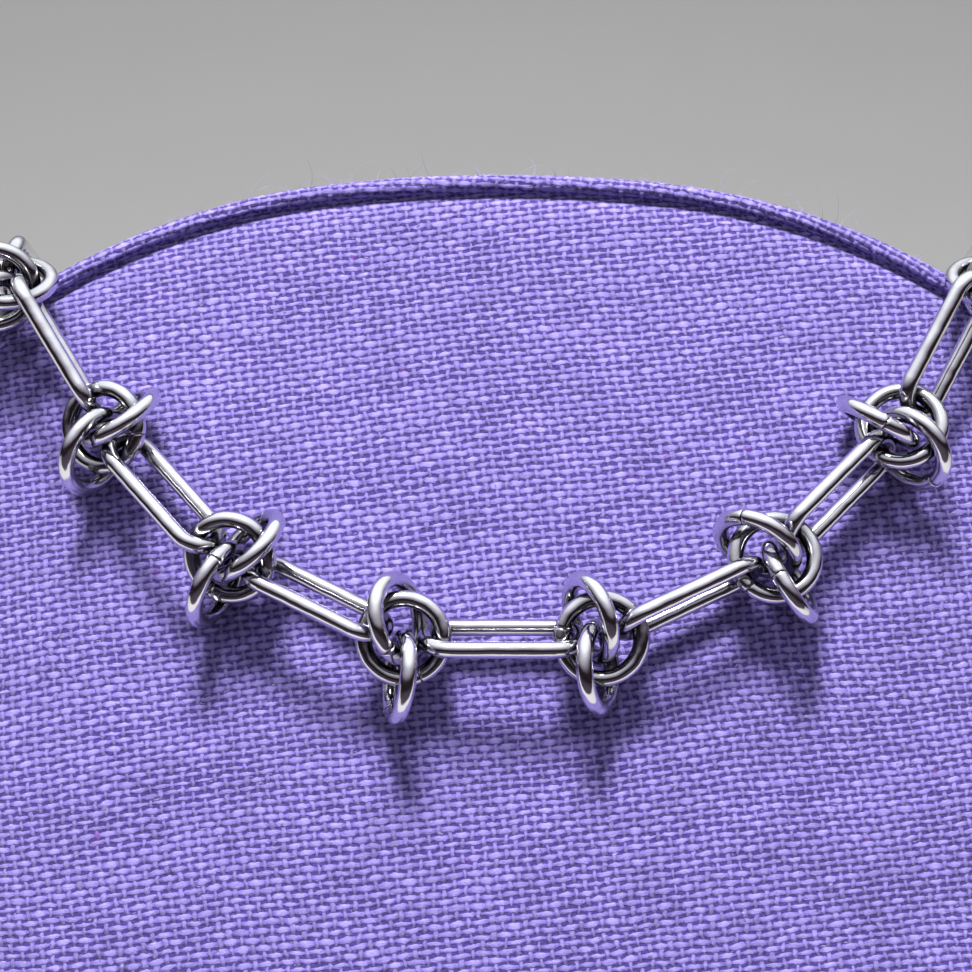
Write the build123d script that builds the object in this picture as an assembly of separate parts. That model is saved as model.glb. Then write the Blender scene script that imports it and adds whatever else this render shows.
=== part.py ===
from build123d import *
import math
import os
import numpy as np

# Chain sizes, in millimetres
ring_diameter = 10.0
ring_wire = 1.75
link_length = 17.65
link_width = 6.8
link_wire = 1.75
clasp_length = 12.0
clasp_width = 7.6
clasp_wire = 2.0
sleeve_length = 5.0
sleeve_wall = 0.6
# clear space between two wires that hook, and between a wire and the cloth
wire_gap = 0.15
# knots on each side of the middle in front, up to the rim
front_knots = 4
# the loop behind has as few knots as hang at least this low
least_sag = 5.0

# Bust sizes, in millimetres and degrees
bust_height = 165.0
base_depth = 110.0
lean_angle = 25.0
face_radius = 300.0
crown_half_width = 18.0
haunch_radius = 80.0
crown_radius = 2.5 * haunch_radius
haunch_half_width = 52.0
corner_radius = 22.0
flare_radius = 40.0
flare_angle = 60.0
shoulder_radius = 25.0
shoulder_side = 41.0
back_round = 12.0
piping_diameter = 2.1
piping_gap = 0.1

# Where the chain crosses the rim, from the middle, and how far it has turned over the edge there
crossing_half_width = 51.9
crossing_turn = 8.0

# Route of the chain down the face: shares of the crossing half width and of the drop
ROUTE = (
    # across, down
    (0.0, 1.0),
    (0.187, 0.975),
    (0.53, 0.765),
    (0.815, 0.38),
    (1.0, 0.0),
)

# Rings of the front knots from left to right. Lean turns a ring's long axis clockwise from the line
# across the chain, turn tips it about that axis, and along, up and out place its middle, as shares of
# the ring's radius from the middle of the frame ring.
KNOTS = (
    # frame lean, turn, upper lean, turn, along, up, out, lower lean, turn, along, up, out
    (-75, -27, 3, -55, -0.29, -0.6, 0.5, -31, 63, 0.16, -0.71, -0.21),
    (83, -18, 6, 61, 0.08, 0.46, 0.0, -34, -75, 0.31, -0.59, -0.1),
    (66, -27, 7, 62, 0.22, 0.5, 0.03, -12, -88, 0.12, -0.74, -0.02),
    (67, -13, -12, -56, -0.29, 0.45, 0.1, -5, 79, 0.17, -0.96, -0.15),
    (-67, 13, -8, 72, -0.15, 0.56, 0.11, 10, -68, -0.28, -0.68, -0.17),
    (65, 6, -27, 76, -0.15, 0.55, 0.04, 2, -68, -0.09, -0.72, -0.12),
    (79, 23, -1, -86, -0.38, 0.47, -0.14, 13, 77, -0.29, -0.49, -0.09),
    (74, 27, 7, 61, 0.02, -0.54, 0.07, 31, -62, -0.16, -0.71, -0.21),
)

# Roll of the link after each of these knots: 0 lies flat, and above 0 the upper bar stands out
ROLLS = (-60, -41, -42, -48, 80, 50, 17, 45)

ring_radius = (ring_diameter - ring_wire) / 2
link_half = (link_length - link_wire) / 2
link_bend = (link_width - link_wire) / 2
clasp_half = (clasp_length - clasp_wire) / 2
clasp_bend = (clasp_width - clasp_wire) / 2
# distance between two wires that pull on each other, and between the two wires that a link holds
hooked = (ring_wire + link_wire) / 2 + wire_gap
held_span = 2 * (link_half - hooked)
closing_span = 2 * link_half - hooked - (clasp_wire + link_wire) / 2 - wire_gap
# height of a frame ring's middle over the cloth: a tipped ring stands on its edge below it
rest_height = ring_diameter / 2 + wire_gap

lean = math.radians(lean_angle)
ACROSS = np.array([1.0, 0.0, 0.0])
UP_FACE = np.array([0.0, math.sin(lean), math.cos(lean)])
OUT = np.array([0.0, -math.cos(lean), math.sin(lean)])
BACK = np.array([0.0, 1.0, 0.0])
UP = np.array([0.0, 0.0, 1.0])
APEX = np.array([0.0, bust_height * math.tan(lean), bust_height])

# Outline of the bust: a crown arc, a haunch arc and a corner arc on each side, as angles and centres
crown_angle = math.asin(crown_half_width / crown_radius)
haunch_middle = (
    (crown_radius - haunch_radius) * math.sin(crown_angle),
    (crown_radius - haunch_radius) * math.cos(crown_angle) - crown_radius,
)
haunch_angle = math.asin((haunch_half_width - haunch_middle[0]) / haunch_radius)
corner_middle = (
    haunch_middle[0] + (haunch_radius - corner_radius) * math.sin(haunch_angle),
    haunch_middle[1] + (haunch_radius - corner_radius) * math.cos(haunch_angle),
)
neck_half_width = corner_middle[0] + corner_radius
flare = math.radians(flare_angle)
shoulder_foot = shoulder_side - bust_height / math.cos(lean)
neck_foot = shoulder_foot + (flare_radius + shoulder_radius) * math.sin(flare)
shoulder_middle = (
    neck_half_width + flare_radius - (flare_radius + shoulder_radius) * math.cos(flare),
    neck_foot - (flare_radius + shoulder_radius) * math.sin(flare),
)
shoulder_half_width = shoulder_middle[0] + shoulder_radius

# The rim's corner is cut back for the piping, most where the face has turned furthest away
face_turn = math.asin(shoulder_half_width / face_radius)
rim_chamfer = (piping_diameter / 2 + piping_gap) / math.cos(math.pi / 4 + face_turn / 2)


def unit(v):
    """Gives the vector at length one."""
    return v / np.linalg.norm(v)


def to_world(across, up, out):
    """Turns a place measured on the face into one in space."""
    return APEX + across * ACROSS + up * UP_FACE + out * OUT


def face_out(across):
    """Gives how far the rounded face stands back at this distance from the middle."""
    return math.sqrt(face_radius**2 - across**2) - face_radius


def outline_gap(across, up):
    """Gives the distance of points from the outline, and its outward direction, on the face's plane."""
    side = np.where(across < 0, -1.0, 1.0)
    a = np.abs(across)
    corner = np.stack([a - corner_middle[0], up - corner_middle[1]], axis=1)
    haunch = np.stack([a - haunch_middle[0], up - haunch_middle[1]], axis=1)
    crown = np.stack([a, up + crown_radius], axis=1)
    in_side = corner[:, 1] <= 0
    in_corner = np.arctan2(corner[:, 0], corner[:, 1]) >= haunch_angle
    in_haunch = np.arctan2(haunch[:, 0], haunch[:, 1]) >= crown_angle
    chosen = np.where(in_haunch[:, None], haunch, crown)
    radius = np.where(in_haunch, haunch_radius, crown_radius)
    chosen = np.where(in_corner[:, None], corner, chosen)
    radius = np.where(in_corner, corner_radius, radius)
    length = np.maximum(np.linalg.norm(chosen, axis=1), 1e-9)
    way = chosen / length[:, None]
    gap = np.where(in_side, a - neck_half_width, length - radius)
    way_across = np.where(in_side, 1.0, way[:, 0]) * side
    return gap, way_across, np.where(in_side, 0.0, way[:, 1])


def edge_point(across, up):
    """Gives the point of the face at this place."""
    return to_world(across, up, face_out(across))


def bust_gap(points):
    """Gives the distance of points from the piped bust, below zero inside it, and the way out."""
    local = points - APEX
    across, up, out = local @ ACROSS, local @ UP_FACE, local @ OUT
    bow = np.sqrt(face_radius**2 - np.minimum(np.abs(across), face_radius * 0.9) ** 2)
    front = out - (bow - face_radius)
    front_way = (across[:, None] * ACROSS + bow[:, None] * OUT) / face_radius
    wall, way_across, way_up = outline_gap(across, up)
    wall_way = way_across[:, None] * ACROSS + way_up[:, None] * UP_FACE
    rear = points[:, 1] - base_depth
    rear_way = np.tile(BACK, (len(points), 1))
    gap = np.maximum(front, np.maximum(wall, rear))
    way = np.where((rear >= wall)[:, None], rear_way, wall_way)
    way = np.where((front >= np.maximum(wall, rear))[:, None], front_way, way)
    # the rounded edge behind
    cosine = wall_way @ BACK
    a, b = wall + back_round, rear + back_round
    share_a = (a - b * cosine) / (1 - cosine**2)
    share_b = (b - a * cosine) / (1 - cosine**2)
    rounded = (share_a > 0) & (share_b > 0) & (front <= 0)
    offset = share_a[:, None] * wall_way + share_b[:, None] * rear_way
    length = np.maximum(np.linalg.norm(offset, axis=1), 1e-9)
    gap = np.where(rounded, length - back_round, gap)
    way = np.where(rounded[:, None], offset / length[:, None], way)
    # the piping, whose middle runs along the sharp edge in front
    offset = front[:, None] * front_way + wall[:, None] * wall_way
    length = np.maximum(np.linalg.norm(offset, axis=1), 1e-9)
    piped = (length - piping_diameter / 2 < gap) | ((front > 0) & (wall > 0))
    gap = np.where(piped, length - piping_diameter / 2, gap)
    way = np.where(piped[:, None], offset / length[:, None], way)
    return gap, way


def lifted(points, height):
    """Moves points along the way out of the bust until they lie at this height over it."""
    for _ in range(10):
        gap, way = bust_gap(points)
        points = points + (height - gap)[:, None] * way
    return points


def search(low, high, too_far):
    """Halves an interval until the place where the test changes is found."""
    for _ in range(24):
        middle = (low + high) / 2
        if too_far(middle):
            high = middle
        else:
            low = middle
    return (low + high) / 2


def eased(points, steps):
    """Puts a smooth curve through a short list of pairs."""
    p = np.array(points, float)
    p = np.vstack([p[1] * np.array([-1, 1]), p, p[-1] + 0.6 * (p[-1] - p[-2])])
    t = np.arange(steps)[:, None] / steps
    curve = []
    for i in range(1, len(p) - 2):
        a, b, c, d = p[i - 1], p[i], p[i + 1], p[i + 2]
        square = (2 * a - 5 * b + 4 * c - d) * t**2
        cube = (3 * b - a - 3 * c + d) * t**3
        curve.append((2 * b + (c - a) * t + square + cube) / 2)
    curve.append(p[-2:-1])
    return np.vstack(curve)


# Where the chain crosses the rim, and the ways out of the face and out of the wall there
crossing_up = search(
    -neck_half_width,
    0.0,
    lambda up: outline_gap(np.array([crossing_half_width]), np.array([up]))[0][0] > 0,
)
crossing = edge_point(crossing_half_width, crossing_up)
wall_side, wall_rise = outline_gap(np.array([crossing_half_width]), np.array([crossing_up]))[1:]
crossing_wall = wall_side[0] * ACROSS + wall_rise[0] * UP_FACE
crossing_face = unit(
    crossing_half_width * ACROSS + math.sqrt(face_radius**2 - crossing_half_width**2) * OUT
)


class Route:
    """The line that the frame rings' middles follow, symmetrical, measured from its middle."""

    def __init__(self, drop, sag):
        shares = eased(ROUTE, 16)
        face = [edge_point(a * crossing_half_width, crossing_up - drop * d) for a, d in shares]
        turns = np.radians(np.arange(5, 91, 5))
        over = [crossing + math.cos(t) * crossing_face + math.sin(t) * crossing_wall for t in turns]
        depth = (base_depth - crossing[1]) / math.cos(lean)
        wall = [crossing - k * OUT for k in np.arange(1.0, depth, 2.0)]
        rear = crossing - depth * OUT
        turns = np.radians(np.arange(0, 91, 2))
        behind = [
            rear - crossing_half_width * (1 - math.cos(t)) * ACROSS - sag * math.sin(t) * UP
            for t in turns
        ]
        half = lifted(np.array(face + over + wall + behind), rest_height)
        mirror = np.array([-1.0, 1.0, 1.0])
        self.points = np.vstack([(half * mirror)[:0:-1], half])
        self.ways = bust_gap(self.points)[1]
        steps = np.linalg.norm(np.diff(self.points, axis=0), axis=1)
        self.run = np.concatenate([[0.0], np.cumsum(steps)])
        self.run = self.run - self.run[len(half) - 1]

    def at(self, run):
        return np.array([np.interp(run, self.run, self.points[:, k]) for k in range(3)])

    def way(self, run):
        return unit(np.array([np.interp(run, self.run, self.ways[:, k]) for k in range(3)]))

    def axes(self, run):
        """Gives the ways along the chain, across it and out of the cloth, around this place."""
        reach = 0.7 * link_length
        nearby = 0.4 * ring_diameter
        along = unit(self.at(run + reach) - self.at(run - reach))
        out = unit(self.way(run + nearby) + self.way(run) + self.way(run - nearby))
        out = unit(out - (out @ along) * along)
        return along, np.cross(out, along), out


def ring_axis(axes, lean_degrees, turn_degrees):
    """Gives the axis of a ring that leans and turns as seen from outside."""
    along, across, out = axes
    a, b = math.radians(lean_degrees), math.radians(turn_degrees)
    side = math.cos(a) * along - math.sin(a) * across
    return math.cos(b) * out - math.sin(b) * side


def hook_on(middle, axis, way):
    """Gives the place on a ring's wire where a pull in this direction holds on."""
    return middle + ring_radius * unit(way - (way @ axis) * axis)


def hook_points(middle_a, axis_a, middle_b, axis_b):
    """Gives the places on two rings where a taut link between them holds on."""
    a, b = middle_a, middle_b
    for _ in range(5):
        way = unit(b - a)
        a, b = hook_on(middle_a, axis_a, way), hook_on(middle_b, axis_b, -way)
    return a, b


def ring_circle(axis):
    """Gives points of a ring's middle line, from its middle, for the ring's axis."""
    across = unit(np.cross(axis, ACROSS + 0.5 * UP))
    turns = np.radians(np.arange(0, 360, 7.5))[:, None]
    return ring_radius * (np.cos(turns) * across + np.sin(turns) * np.cross(axis, across))


def raised(middle, axis):
    """Lifts a ring's middle off the bust until the whole ring lies clear of it."""
    circle = ring_circle(axis)
    for _ in range(12):
        gap, way = bust_gap(middle + circle)
        k = int(np.argmin(gap))
        middle = middle + max(0.0, wire_gap + ring_wire / 2 - gap[k]) * way[k]
    return middle


def row_of(index):
    """Gives the table row of a knot: the hidden knots borrow those of the front ones in turn."""
    return KNOTS[index % len(KNOTS)]


def march(route, side, count):
    """Walks knots out from the middle on one side, each as far on as a taut link lets it."""
    found = []
    for k in range(count):
        index = front_knots + k if side > 0 else front_knots - 1 - k
        row = row_of(index)

        def too_far(run):
            axis = ring_axis(route.axes(side * run), row[0], row[1])
            middle = raised(route.at(side * run), axis)
            if not found:
                return side * hook_on(middle, axis, -side * ACROSS)[0] > held_span / 2
            a, b = hook_points(found[-1][1], found[-1][2], middle, axis)
            return np.linalg.norm(b - a) > held_span

        start = found[-1][0] + ring_diameter * 0.6 if found else 0.0
        run = search(start, start + 2 * link_length, too_far)
        axis = ring_axis(route.axes(side * run), row[0], row[1])
        found.append((run, raised(route.at(side * run), axis), axis, index, side))
    return found


def short_of_rim(drop):
    """Says whether the drop is too deep for the last front knot to reach its place over the rim."""
    last = march(Route(drop, ring_diameter), 1, front_knots)[-1][1] - crossing
    turned = math.degrees(math.atan2(last @ crossing_wall, last @ crossing_face))
    return turned < crossing_turn


def open_behind(sag, count):
    """Says whether so many knots behind end too far apart for the last two links and the clasp."""
    route = Route(drop, sag)
    ends = [march(route, side, front_knots + count)[-1] for side in (-1, 1)]
    a, b = hook_points(ends[0][1], ends[0][2], ends[1][1], ends[1][2])
    return np.linalg.norm(b - a) > 2 * closing_span + clasp_length - clasp_wire


drop = search(0.3 * crossing_half_width, 1.5 * crossing_half_width, short_of_rim)
hidden_knots = 1
while open_behind(least_sag, hidden_knots):
    hidden_knots += 1
sag = search(0.0, 1.2 * crossing_half_width, lambda low: open_behind(low, hidden_knots))
route = Route(drop, sag)
left_side = march(route, -1, front_knots + hidden_knots)
right_side = march(route, 1, front_knots + hidden_knots)
places = left_side[::-1] + right_side


class Piece:
    """A closed loop of wire that keeps its shape and may shift and turn as a whole."""

    def __init__(self, middle, x, z, shape, wire, ease):
        self.middle, self.start = middle, middle
        self.frame = np.stack([x, np.cross(z, x), z])
        self.shape, self.wire, self.ease = shape, wire / 2, ease
        self.loop = self.shape @ self.frame

    def nudge(self, at, push):
        """Shifts the piece, and turns it about its middle as a push at this place on it would."""
        self.middle = self.middle + push
        turn = np.cross(at, push) / (at @ at)
        angle = np.linalg.norm(turn)
        if angle > 1e-9:
            k = turn / angle
            f = self.frame
            across = np.cross(k, f)
            along = (f @ k)[:, None] * k
            self.frame = along + (f - along) * math.cos(angle) + across * math.sin(angle)
            self.loop = self.shape @ self.frame

    def plane(self):
        return Plane(origin=tuple(self.middle), x_dir=tuple(self.frame[0]), z_dir=tuple(self.frame[2]))


class Ring(Piece):
    """A round ring of the chain."""

    def __init__(self, middle, axis, fixed):
        t = np.linspace(0, 2 * math.pi, 60, endpoint=False)
        shape = ring_radius * np.stack([np.cos(t), np.sin(t), 0 * t], axis=1)
        x = unit(np.cross(axis, UP + 0.3 * ACROSS))
        super().__init__(middle, x, axis, shape, ring_wire, 0.0 if fixed else 1.0)

    def solid(self):
        return self.plane() * Torus(ring_radius, self.wire)


class Link(Piece):
    """A long link with straight sides and round ends, or the clasp."""

    def __init__(self, middle, way, side, half, bend, wire):
        self.bend, self.straight = bend, half - bend
        t = np.linspace(-math.pi / 2, math.pi / 2, 16)
        end = np.stack([self.straight + bend * np.cos(t), bend * np.sin(t), 0 * t], axis=1)
        s = np.linspace(self.straight, -self.straight, 18)[1:-1]
        bar = np.stack([s, 0 * s + bend, 0 * s], axis=1)
        side = unit(side - (side @ way) * way)
        shape = np.vstack([end, bar, -end, -bar])
        super().__init__(middle, way, np.cross(way, side), shape, wire, 0.3)

    def solid(self):
        bars = [
            Pos(0, s * self.bend, 0) * Rot(0, 90, 0) * Cylinder(self.wire, 2 * self.straight)
            for s in (-1, 1)
        ]
        ends = [
            Pos(s * self.straight, 0, 0)
            * Rot(0, 0, -90 * s)
            * Torus(self.bend, self.wire, major_angle=180, align=None)
            for s in (-1, 1)
        ]
        return self.plane() * (bars[0] + bars[1] + ends[0] + ends[1])


def spacing(first, second):
    """Gives the clear distance between two pieces, the way between, and where on each it is."""
    if isinstance(second, Ring):
        across = first.middle + first.loop - second.middle
        axis = second.frame[2]
        flat = across - (across @ axis)[:, None] * axis
        foot = ring_radius * flat / np.linalg.norm(flat, axis=1)[:, None]
        apart = across - foot
        length = np.linalg.norm(apart, axis=1)
        k = int(np.argmin(length))
        near, far = first.loop[k], foot[k]
        way = apart[k]
    else:
        apart = (first.middle + first.loop)[:, None] - (second.middle + second.loop)[None]
        length = np.linalg.norm(apart, axis=2)
        k, m = np.unravel_index(np.argmin(length), length.shape)
        near, far = first.loop[k], second.loop[m]
        way = apart[k, m]
    distance = np.linalg.norm(way)
    return distance - first.wire - second.wire, way / distance, near, far


def settle(pieces, pairs, rounds, wanted):
    """Moves loose pieces a little at a time until no two wires, nor a wire and the bust, touch."""
    for _ in range(rounds):
        for first, second in pairs:
            gap, way, near, far = spacing(first, second)
            ease = first.ease + second.ease
            if gap < wanted and ease > 0:
                push = 0.4 * (wanted - gap) / ease * way
                if first.ease:
                    first.nudge(near, first.ease * push)
                if second.ease:
                    second.nudge(far, -second.ease * push)
        for piece in pieces:
            gap, way = bust_gap(piece.middle + piece.loop)
            k = int(np.argmin(gap))
            low = gap[k] - piece.wire
            if low < wanted and piece.ease:
                piece.nudge(piece.loop[k], 0.4 * (wanted - low) * way[k])
        for piece in pieces:
            piece.middle = piece.middle + 0.004 * (piece.start - piece.middle)


def rolled(roll_degrees, way, out):
    """Gives the direction of a link's width from its roll about its length."""
    out = unit(out - (out @ way) * way)
    roll = math.radians(roll_degrees)
    return math.cos(roll) * np.cross(out, way) + math.sin(roll) * out


knots = []
for run, middle, axis, index, side in places:
    axes = route.axes(side * run)
    row = row_of(index)
    rings = [Ring(middle, axis, True)]
    for values in (row[2:7], row[7:12]):
        shift = sum(share * ring_radius * way for share, way in zip(values[2:], axes))
        rings.append(Ring(middle + shift, ring_axis(axes, values[0], values[1]), False))
    knots.append((index, axes[2], rings))

links = []
for (index, out, rings), (next_index, next_out, next_rings) in zip(knots, knots[1:]):
    one, two = rings[0], next_rings[0]
    a, b = hook_points(one.middle, one.frame[2], two.middle, two.frame[2])
    side = rolled(ROLLS[index % len(ROLLS)], unit(b - a), out + next_out)
    links.append(Link((a + b) / 2, unit(b - a), side, link_half, link_bend, link_wire))

# The last two links and the clasp lie in one line behind the neck
one, two = knots[0][2][0], knots[-1][2][0]
a, b = hook_points(one.middle, one.frame[2], two.middle, two.frame[2])
way = unit(b - a)
side = rolled(ROLLS[knots[-1][0] % len(ROLLS)], way, BACK)
middle = (link_half - hooked) * way
links.insert(0, Link(a + middle, way, side, link_half, link_bend, link_wire))
links.append(Link(b - middle, way, side, link_half, link_bend, link_wire))
side = rolled(ROLLS[knots[-1][0] % len(ROLLS)] - 90, way, BACK)
clasp = Link((a + b) / 2, way, side, clasp_half, clasp_bend, clasp_wire)

pairs = [(links[0], clasp), (links[-1], clasp)]
for k, (index, out, rings) in enumerate(knots):
    pairs += [(rings[0], rings[1]), (rings[0], rings[2]), (rings[1], rings[2])]
    for ring in rings:
        pairs += [(links[k], ring), (links[k + 1], ring)]
    pairs.append((links[k], links[k + 1]))
chain = [ring for index, out, rings in knots for ring in rings] + links + [clasp]
settle(chain, pairs, 320, 1.25 * wire_gap)


def outline_edges():
    """Gives the right half of the bust's outline as runs and arcs, from the middle to the foot."""
    crown_end = (crown_half_width, math.sqrt(crown_radius**2 - crown_half_width**2) - crown_radius)
    haunch_end = (
        haunch_middle[0] + haunch_radius * math.sin(haunch_angle),
        haunch_middle[1] + haunch_radius * math.cos(haunch_angle),
    )
    corner_end = (neck_half_width, corner_middle[1])
    foot = (neck_half_width, neck_foot)
    flare_middle = (neck_half_width + flare_radius, neck_foot)
    flare_end = (
        flare_middle[0] - flare_radius * math.cos(flare),
        flare_middle[1] - flare_radius * math.sin(flare),
    )
    shoulder_end = (shoulder_half_width, shoulder_middle[1])
    return (
        ((0.0, 0.0), crown_end, (0.0, -crown_radius), crown_radius),
        (crown_end, haunch_end, haunch_middle, haunch_radius),
        (haunch_end, corner_end, corner_middle, corner_radius),
        (corner_end, foot, None, None),
        (foot, flare_end, flare_middle, flare_radius),
        (flare_end, shoulder_end, shoulder_middle, shoulder_radius),
        (shoulder_end, (shoulder_half_width, -2 * bust_height), None, None),
    )


def arc_middle(start, end, middle, radius):
    """Gives the point halfway along an arc."""
    way = (start[0] + end[0] - 2 * middle[0], start[1] + end[1] - 2 * middle[1])
    length = math.hypot(way[0], way[1])
    return middle[0] + radius * way[0] / length, middle[1] + radius * way[1] / length


def make_bust():
    """Makes the bust: an outline pushed back, cut by the rounded face, the floor and the back."""
    edges = []
    for side in (1, -1):
        for start, end, middle, radius in outline_edges():
            a, b = (side * start[0], start[1]), (side * end[0], end[1])
            if middle is None:
                edges.append(Line(a, b))
            else:
                m = arc_middle(start, end, middle, radius)
                edges.append(ThreePointArc(a, (side * m[0], m[1]), b))
    low = -2 * bust_height
    edges.append(Line((-shoulder_half_width, low), (shoulder_half_width, low)))
    outline = make_face(edges)
    plane = Plane(origin=tuple(APEX), x_dir=tuple(ACROSS), z_dir=tuple(OUT))
    reach = 2 * (base_depth + bust_height)
    bust = extrude(plane * outline, reach, dir=tuple(-OUT))
    bust += extrude(plane * outline, corner_radius, dir=tuple(OUT))
    face_plane = Plane(origin=tuple(APEX - face_radius * OUT), z_dir=tuple(UP_FACE))
    bust &= face_plane * Cylinder(face_radius, 8 * bust_height)
    room = Box(4 * shoulder_half_width, 2 * base_depth, 2 * bust_height)
    bust &= Pos(0, 0, bust_height) * room
    bust = bust.solids().sort_by(SortBy.VOLUME)[-1]
    rear = [
        e for e in bust.edges() if abs((e @ 0.5).Y - base_depth) < 0.01 and (e @ 0.5).Z > 0.01
    ]
    bust = fillet(rear, back_round)
    front = [
        e
        for e in bust.edges()
        if abs(bust_gap(np.array([tuple(e @ 0.5)]))[0][0] + piping_diameter / 2) < 0.01
        and (e @ 0.5).Z > 0.01
    ]
    return chamfer(front, rim_chamfer)


def rim_points():
    """Gives points along the rim on the right, close enough for runs to keep to its arcs."""
    flat = [(0.0, 0.0)]
    for start, end, middle, radius in outline_edges():
        if middle is None:
            flat.append(end)
            continue
        a = math.atan2(start[1] - middle[1], start[0] - middle[0])
        b = math.atan2(end[1] - middle[1], end[0] - middle[0])
        turn = (b - a + math.pi) % (2 * math.pi) - math.pi
        step = 2 * math.acos(1 - piping_gap / 2 / radius)
        count = max(2, math.ceil(abs(turn) / step))
        for k in range(1, count + 1):
            t = a + turn * k / count
            flat.append((middle[0] + radius * math.cos(t), middle[1] + radius * math.sin(t)))
    points = [edge_point(across, up) for across, up in flat[:-1]]
    foot = edge_point(shoulder_half_width, 0.0)
    lowest = piping_diameter
    foot = foot - (foot[2] - lowest) / UP_FACE[2] * UP_FACE
    return points + [foot]


def make_piping():
    """Makes the cord along the front rim as runs joined by tangent arcs."""
    right = rim_points()
    left = [p * np.array([-1.0, 1.0, 1.0]) for p in right]
    points = left[:0:-1] + right
    radii = []
    for a, b, c in zip(points, points[1:], points[2:]):
        one, two = np.linalg.norm(b - a), np.linalg.norm(c - b)
        turn = math.acos(min(1.0, unit(b - a) @ unit(c - b)))
        radii.append(0.45 * min(one, two) / math.tan(turn / 2))
    path = FilletPolyline([tuple(p) for p in points], radius=radii)
    start = Plane(origin=tuple(points[0]), z_dir=tuple(unit(points[1] - points[0])))
    return sweep(start * Circle(piping_diameter / 2), path=path)


def make_clasp():
    """Makes the clasp: a plain link of thicker wire with a sleeve round one of its sides."""
    sleeve = Rot(0, 90, 0) * Cylinder(clasp_wire / 2 + sleeve_wall, sleeve_length)
    return clasp.solid() + clasp.plane() * Pos(0, -clasp.bend, 0) * sleeve


nodes = {"bust_form": make_bust(), "rim_piping": make_piping()}
for k, (index, out, rings) in enumerate(knots):
    nodes[f"knot_{k + 1:02d}"] = Compound([ring.solid() for ring in rings])
for k, link in enumerate(links):
    nodes[f"link_{k + 1:02d}"] = link.solid()
nodes["clasp"] = make_clasp()

whole = Compound(list(nodes.values())).bounding_box()
shift = Pos(-(whole.min.X + whole.max.X) / 2, -(whole.min.Y + whole.max.Y) / 2, -whole.min.Z)

os.makedirs("parts", exist_ok=True)
for name, solid in nodes.items():
    export_step(shift * solid, f"parts/{name}.step")
print("drop", round(drop, 2), "sag", round(sag, 2), "shift", shift.position)
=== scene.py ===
"""Knot chain choker on a linen neck bust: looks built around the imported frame."""

import math
import random

import bmesh
import bpy
import numpy as np
from bpy.props import FloatProperty, FloatVectorProperty, IntProperty, PointerProperty
from mathutils import Matrix, Vector, noise


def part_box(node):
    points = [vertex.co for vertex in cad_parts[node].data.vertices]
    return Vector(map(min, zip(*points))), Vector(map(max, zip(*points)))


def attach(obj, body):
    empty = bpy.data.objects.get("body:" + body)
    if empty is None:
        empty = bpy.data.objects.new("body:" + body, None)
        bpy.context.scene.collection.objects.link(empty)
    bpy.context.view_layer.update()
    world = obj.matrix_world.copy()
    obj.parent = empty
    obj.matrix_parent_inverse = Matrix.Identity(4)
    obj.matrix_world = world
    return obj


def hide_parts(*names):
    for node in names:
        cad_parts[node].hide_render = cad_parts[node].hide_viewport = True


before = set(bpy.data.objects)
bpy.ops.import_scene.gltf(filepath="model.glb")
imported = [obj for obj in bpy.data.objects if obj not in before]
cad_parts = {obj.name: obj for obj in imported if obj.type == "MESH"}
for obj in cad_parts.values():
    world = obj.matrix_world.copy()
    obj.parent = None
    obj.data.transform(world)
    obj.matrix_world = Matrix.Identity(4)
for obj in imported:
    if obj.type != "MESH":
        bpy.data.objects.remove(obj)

bl_info = {
    "name": "Knot chain choker",
    "version": (1, 0, 0),
    "blender": (4, 5, 0),
    "location": "3D View > Sidebar > Choker",
    "description": "Dresses a knot chain choker and its linen neck bust",
    "category": "Add Mesh",
}

KNOTS = sorted(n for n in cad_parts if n.startswith("knot_"))
LINKS = sorted(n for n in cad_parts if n.startswith("link_"))
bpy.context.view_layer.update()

# Vertices closer together than this are one, and this close to a flat they lie on it
WELD = 0.000001
TOUCH = 0.00001

# The front panel's rounded edge: how far in and how far down, as shares of the roll's depth
PANEL_ROLL = (
    (2.70, 0.0), (2.25, 0.01), (1.85, 0.03), (1.50, 0.07), (1.22, 0.13), (1.0, 0.20), (0.84, 0.27),
    (0.72, 0.34), (0.63, 0.42), (0.57, 0.52), (0.53, 0.66), (0.46, 0.80), (0.25, 0.94), (0.0, 1.0),
)

# The front panel's mesh, its slight waves, which repeat by the metre, and its room over the floor
PANEL_STEP = 0.0016
PANEL_COLUMNS = 90
PANEL_WAVES = 38
PANEL_WAVE_HEIGHT = 0.00009
PANEL_FLOOR_GAP = 0.0004

# The band: the cosine above which a face of the bust is the panel's, steps along and crease angle
PANEL_FACING = 0.45
BAND_STEP = 0.002
BAND_CREASE = math.radians(35)

# The piping: steps along and around it, how many radii over the floor it ends, the pitches of its
# threads, how far they turn off its length and how steep their sides are
PIPING_STEP = 0.0002
PIPING_AROUND = 28
PIPING_END = 2.2
PIPING_COLUMN = 0.00076
PIPING_ROW = 0.00066
PIPING_BIAS = 0.05
PIPING_SLOPE = 3.2

# How much of the piping's radius its threads, their fibres and its slow swelling take up
PIPING_THREAD = 0.075
PIPING_FIBRE = 0.05
PIPING_SWELL = 0.05

# Stray fibres: thickness, joints, share of short ones, and lengths of short and of long ones
FIBRE_THICKNESS = 0.00004
FIBRE_JOINTS = 7
FIBRE_SHORT_SHARE = 0.86
FIBRE_SHORT = (0.0004, 0.0016)
FIBRE_LONG = (0.002, 0.0045)
FIBRE_STEP = 0.0005
FIBRE_LOWEST = -0.09

# Wire: stations along a ring, points around the wire, crease angle, and how far a ring's ends miss
RING_ALONG = 120
WIRE_AROUND = 26
WIRE_CREASE = math.radians(40)
ENDS_MISS = 0.00004

# The rounded lips of a ring's ends: distance from the end, and thickness as a share of the wire
RING_LIPS = ((0.0, 0.90), (0.00003, 0.965), (0.00008, 1.0))


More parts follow.
